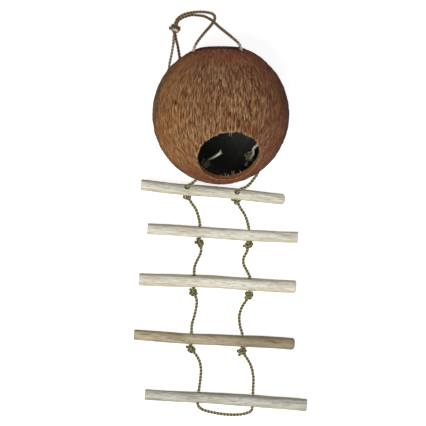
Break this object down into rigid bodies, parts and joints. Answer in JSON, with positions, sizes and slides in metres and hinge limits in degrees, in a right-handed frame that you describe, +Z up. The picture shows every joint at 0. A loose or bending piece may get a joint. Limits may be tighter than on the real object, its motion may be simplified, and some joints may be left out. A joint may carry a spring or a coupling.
{
  "type": "coconut shell hideaway with rope ladder",
  "caption": "Hollow coconut shell with a round entrance, a cord bail to hang it by and a ladder of wooden sticks threaded and knotted on natural cord",
  "frame": {"origin": "On the surface that the part lies on, under the middle of the shell and the rungs together, which leaves the free cords out", "axes": "+Z up from the surface, +Y along the shell's axis towards its sawn top, -Y along the ladder, +X along the rungs"},
  "size_m": [0.1641, 0.3845, 0.1242],
  "materials": {
    "husk": "coconut shell under trimmed coir fibre, matt, fibres running along the shell's axis",
    "weathered_wood": "peeled stick, grey and weathered, fine lengthwise grain, sawn ends",
    "peeled_wood": "peeled stick, tan, fine lengthwise grain, sawn ends",
    "cord": "two-strand twisted plant fibre cord, olive brown, matt, with loose hairs"
  },
  "bodies": {
    "shell": {"coconut_shell": "husk", "stop_knot_left": "cord", "stop_knot_right": "cord", "bail_cord_left": "cord", "bail_cord_right": "cord", "ladder_cord_left_1": "cord", "ladder_cord_right_1": "cord"},
    "rung_1_and_knots": {"rung_1": "weathered_wood", "rung_1_knot_left": "cord", "rung_1_knot_right": "cord", "ladder_cord_left_2": "cord", "ladder_cord_right_2": "cord"},
    "rung_2_and_knots": {"rung_2": "weathered_wood", "rung_2_knot_left": "cord", "rung_2_knot_right": "cord", "ladder_cord_left_3": "cord", "ladder_cord_right_3": "cord"},
    "rung_3_and_knots": {"rung_3": "weathered_wood", "rung_3_knot_left": "cord", "rung_3_knot_right": "cord", "ladder_cord_left_4": "cord", "ladder_cord_right_4": "cord"},
    "rung_4_and_knots": {"rung_4": "peeled_wood", "rung_4_knot_left": "cord", "rung_4_knot_right": "cord", "ladder_cord_left_5": "cord", "ladder_cord_right_5": "cord"},
    "rung_5_and_loop": {"rung_5": "weathered_wood", "bottom_loop": "cord"},
    "bail_end": {"bail_knot": "cord"}
  },
  "joints": [
    {"name": "rung_1_lift", "type": "hinge", "parent": "shell", "child": "rung_1_and_knots", "pos_m": [-0.001, 0.05, 0.024], "axis": [-0.9953, 0.0967, 0], "range_deg": [0, 35], "deforming": ["ladder_cord_left_1", "ladder_cord_right_1"]},
    {"name": "rung_2_lift", "type": "hinge", "parent": "rung_1_and_knots", "child": "rung_2_and_knots", "pos_m": [-0.002, 0.0185, 0.003], "axis": [-0.9972, 0.075, 0], "range_deg": [0, 35], "deforming": ["ladder_cord_left_2", "ladder_cord_right_2"]},
    {"name": "rung_3_lift", "type": "hinge", "parent": "rung_2_and_knots", "child": "rung_3_and_knots", "pos_m": [0.003, -0.0275, 0.003], "axis": [-0.9987, 0.0515, 0], "range_deg": [0, 35], "deforming": ["ladder_cord_left_3", "ladder_cord_right_3"]},
    {"name": "rung_4_lift", "type": "hinge", "parent": "rung_3_and_knots", "child": "rung_4_and_knots", "pos_m": [0.001, -0.079, 0.003], "axis": [-0.9986, 0.0532, 0], "range_deg": [0, 35], "deforming": ["ladder_cord_left_4", "ladder_cord_right_4"]},
    {"name": "rung_5_lift", "type": "hinge", "parent": "rung_4_and_knots", "child": "rung_5_and_loop", "pos_m": [0.004, -0.1325, 0.003], "axis": [-0.9981, 0.0619, 0], "range_deg": [0, 35], "deforming": ["ladder_cord_left_5", "ladder_cord_right_5"]},
    {"name": "bail_lift", "type": "hinge", "parent": "shell", "child": "bail_end", "pos_m": [0, 0.164, 0.0621], "axis": [0.7965, 0, -0.6047], "range_deg": [0, 68], "deforming": ["bail_cord_left", "bail_cord_right"]}
  ]
}
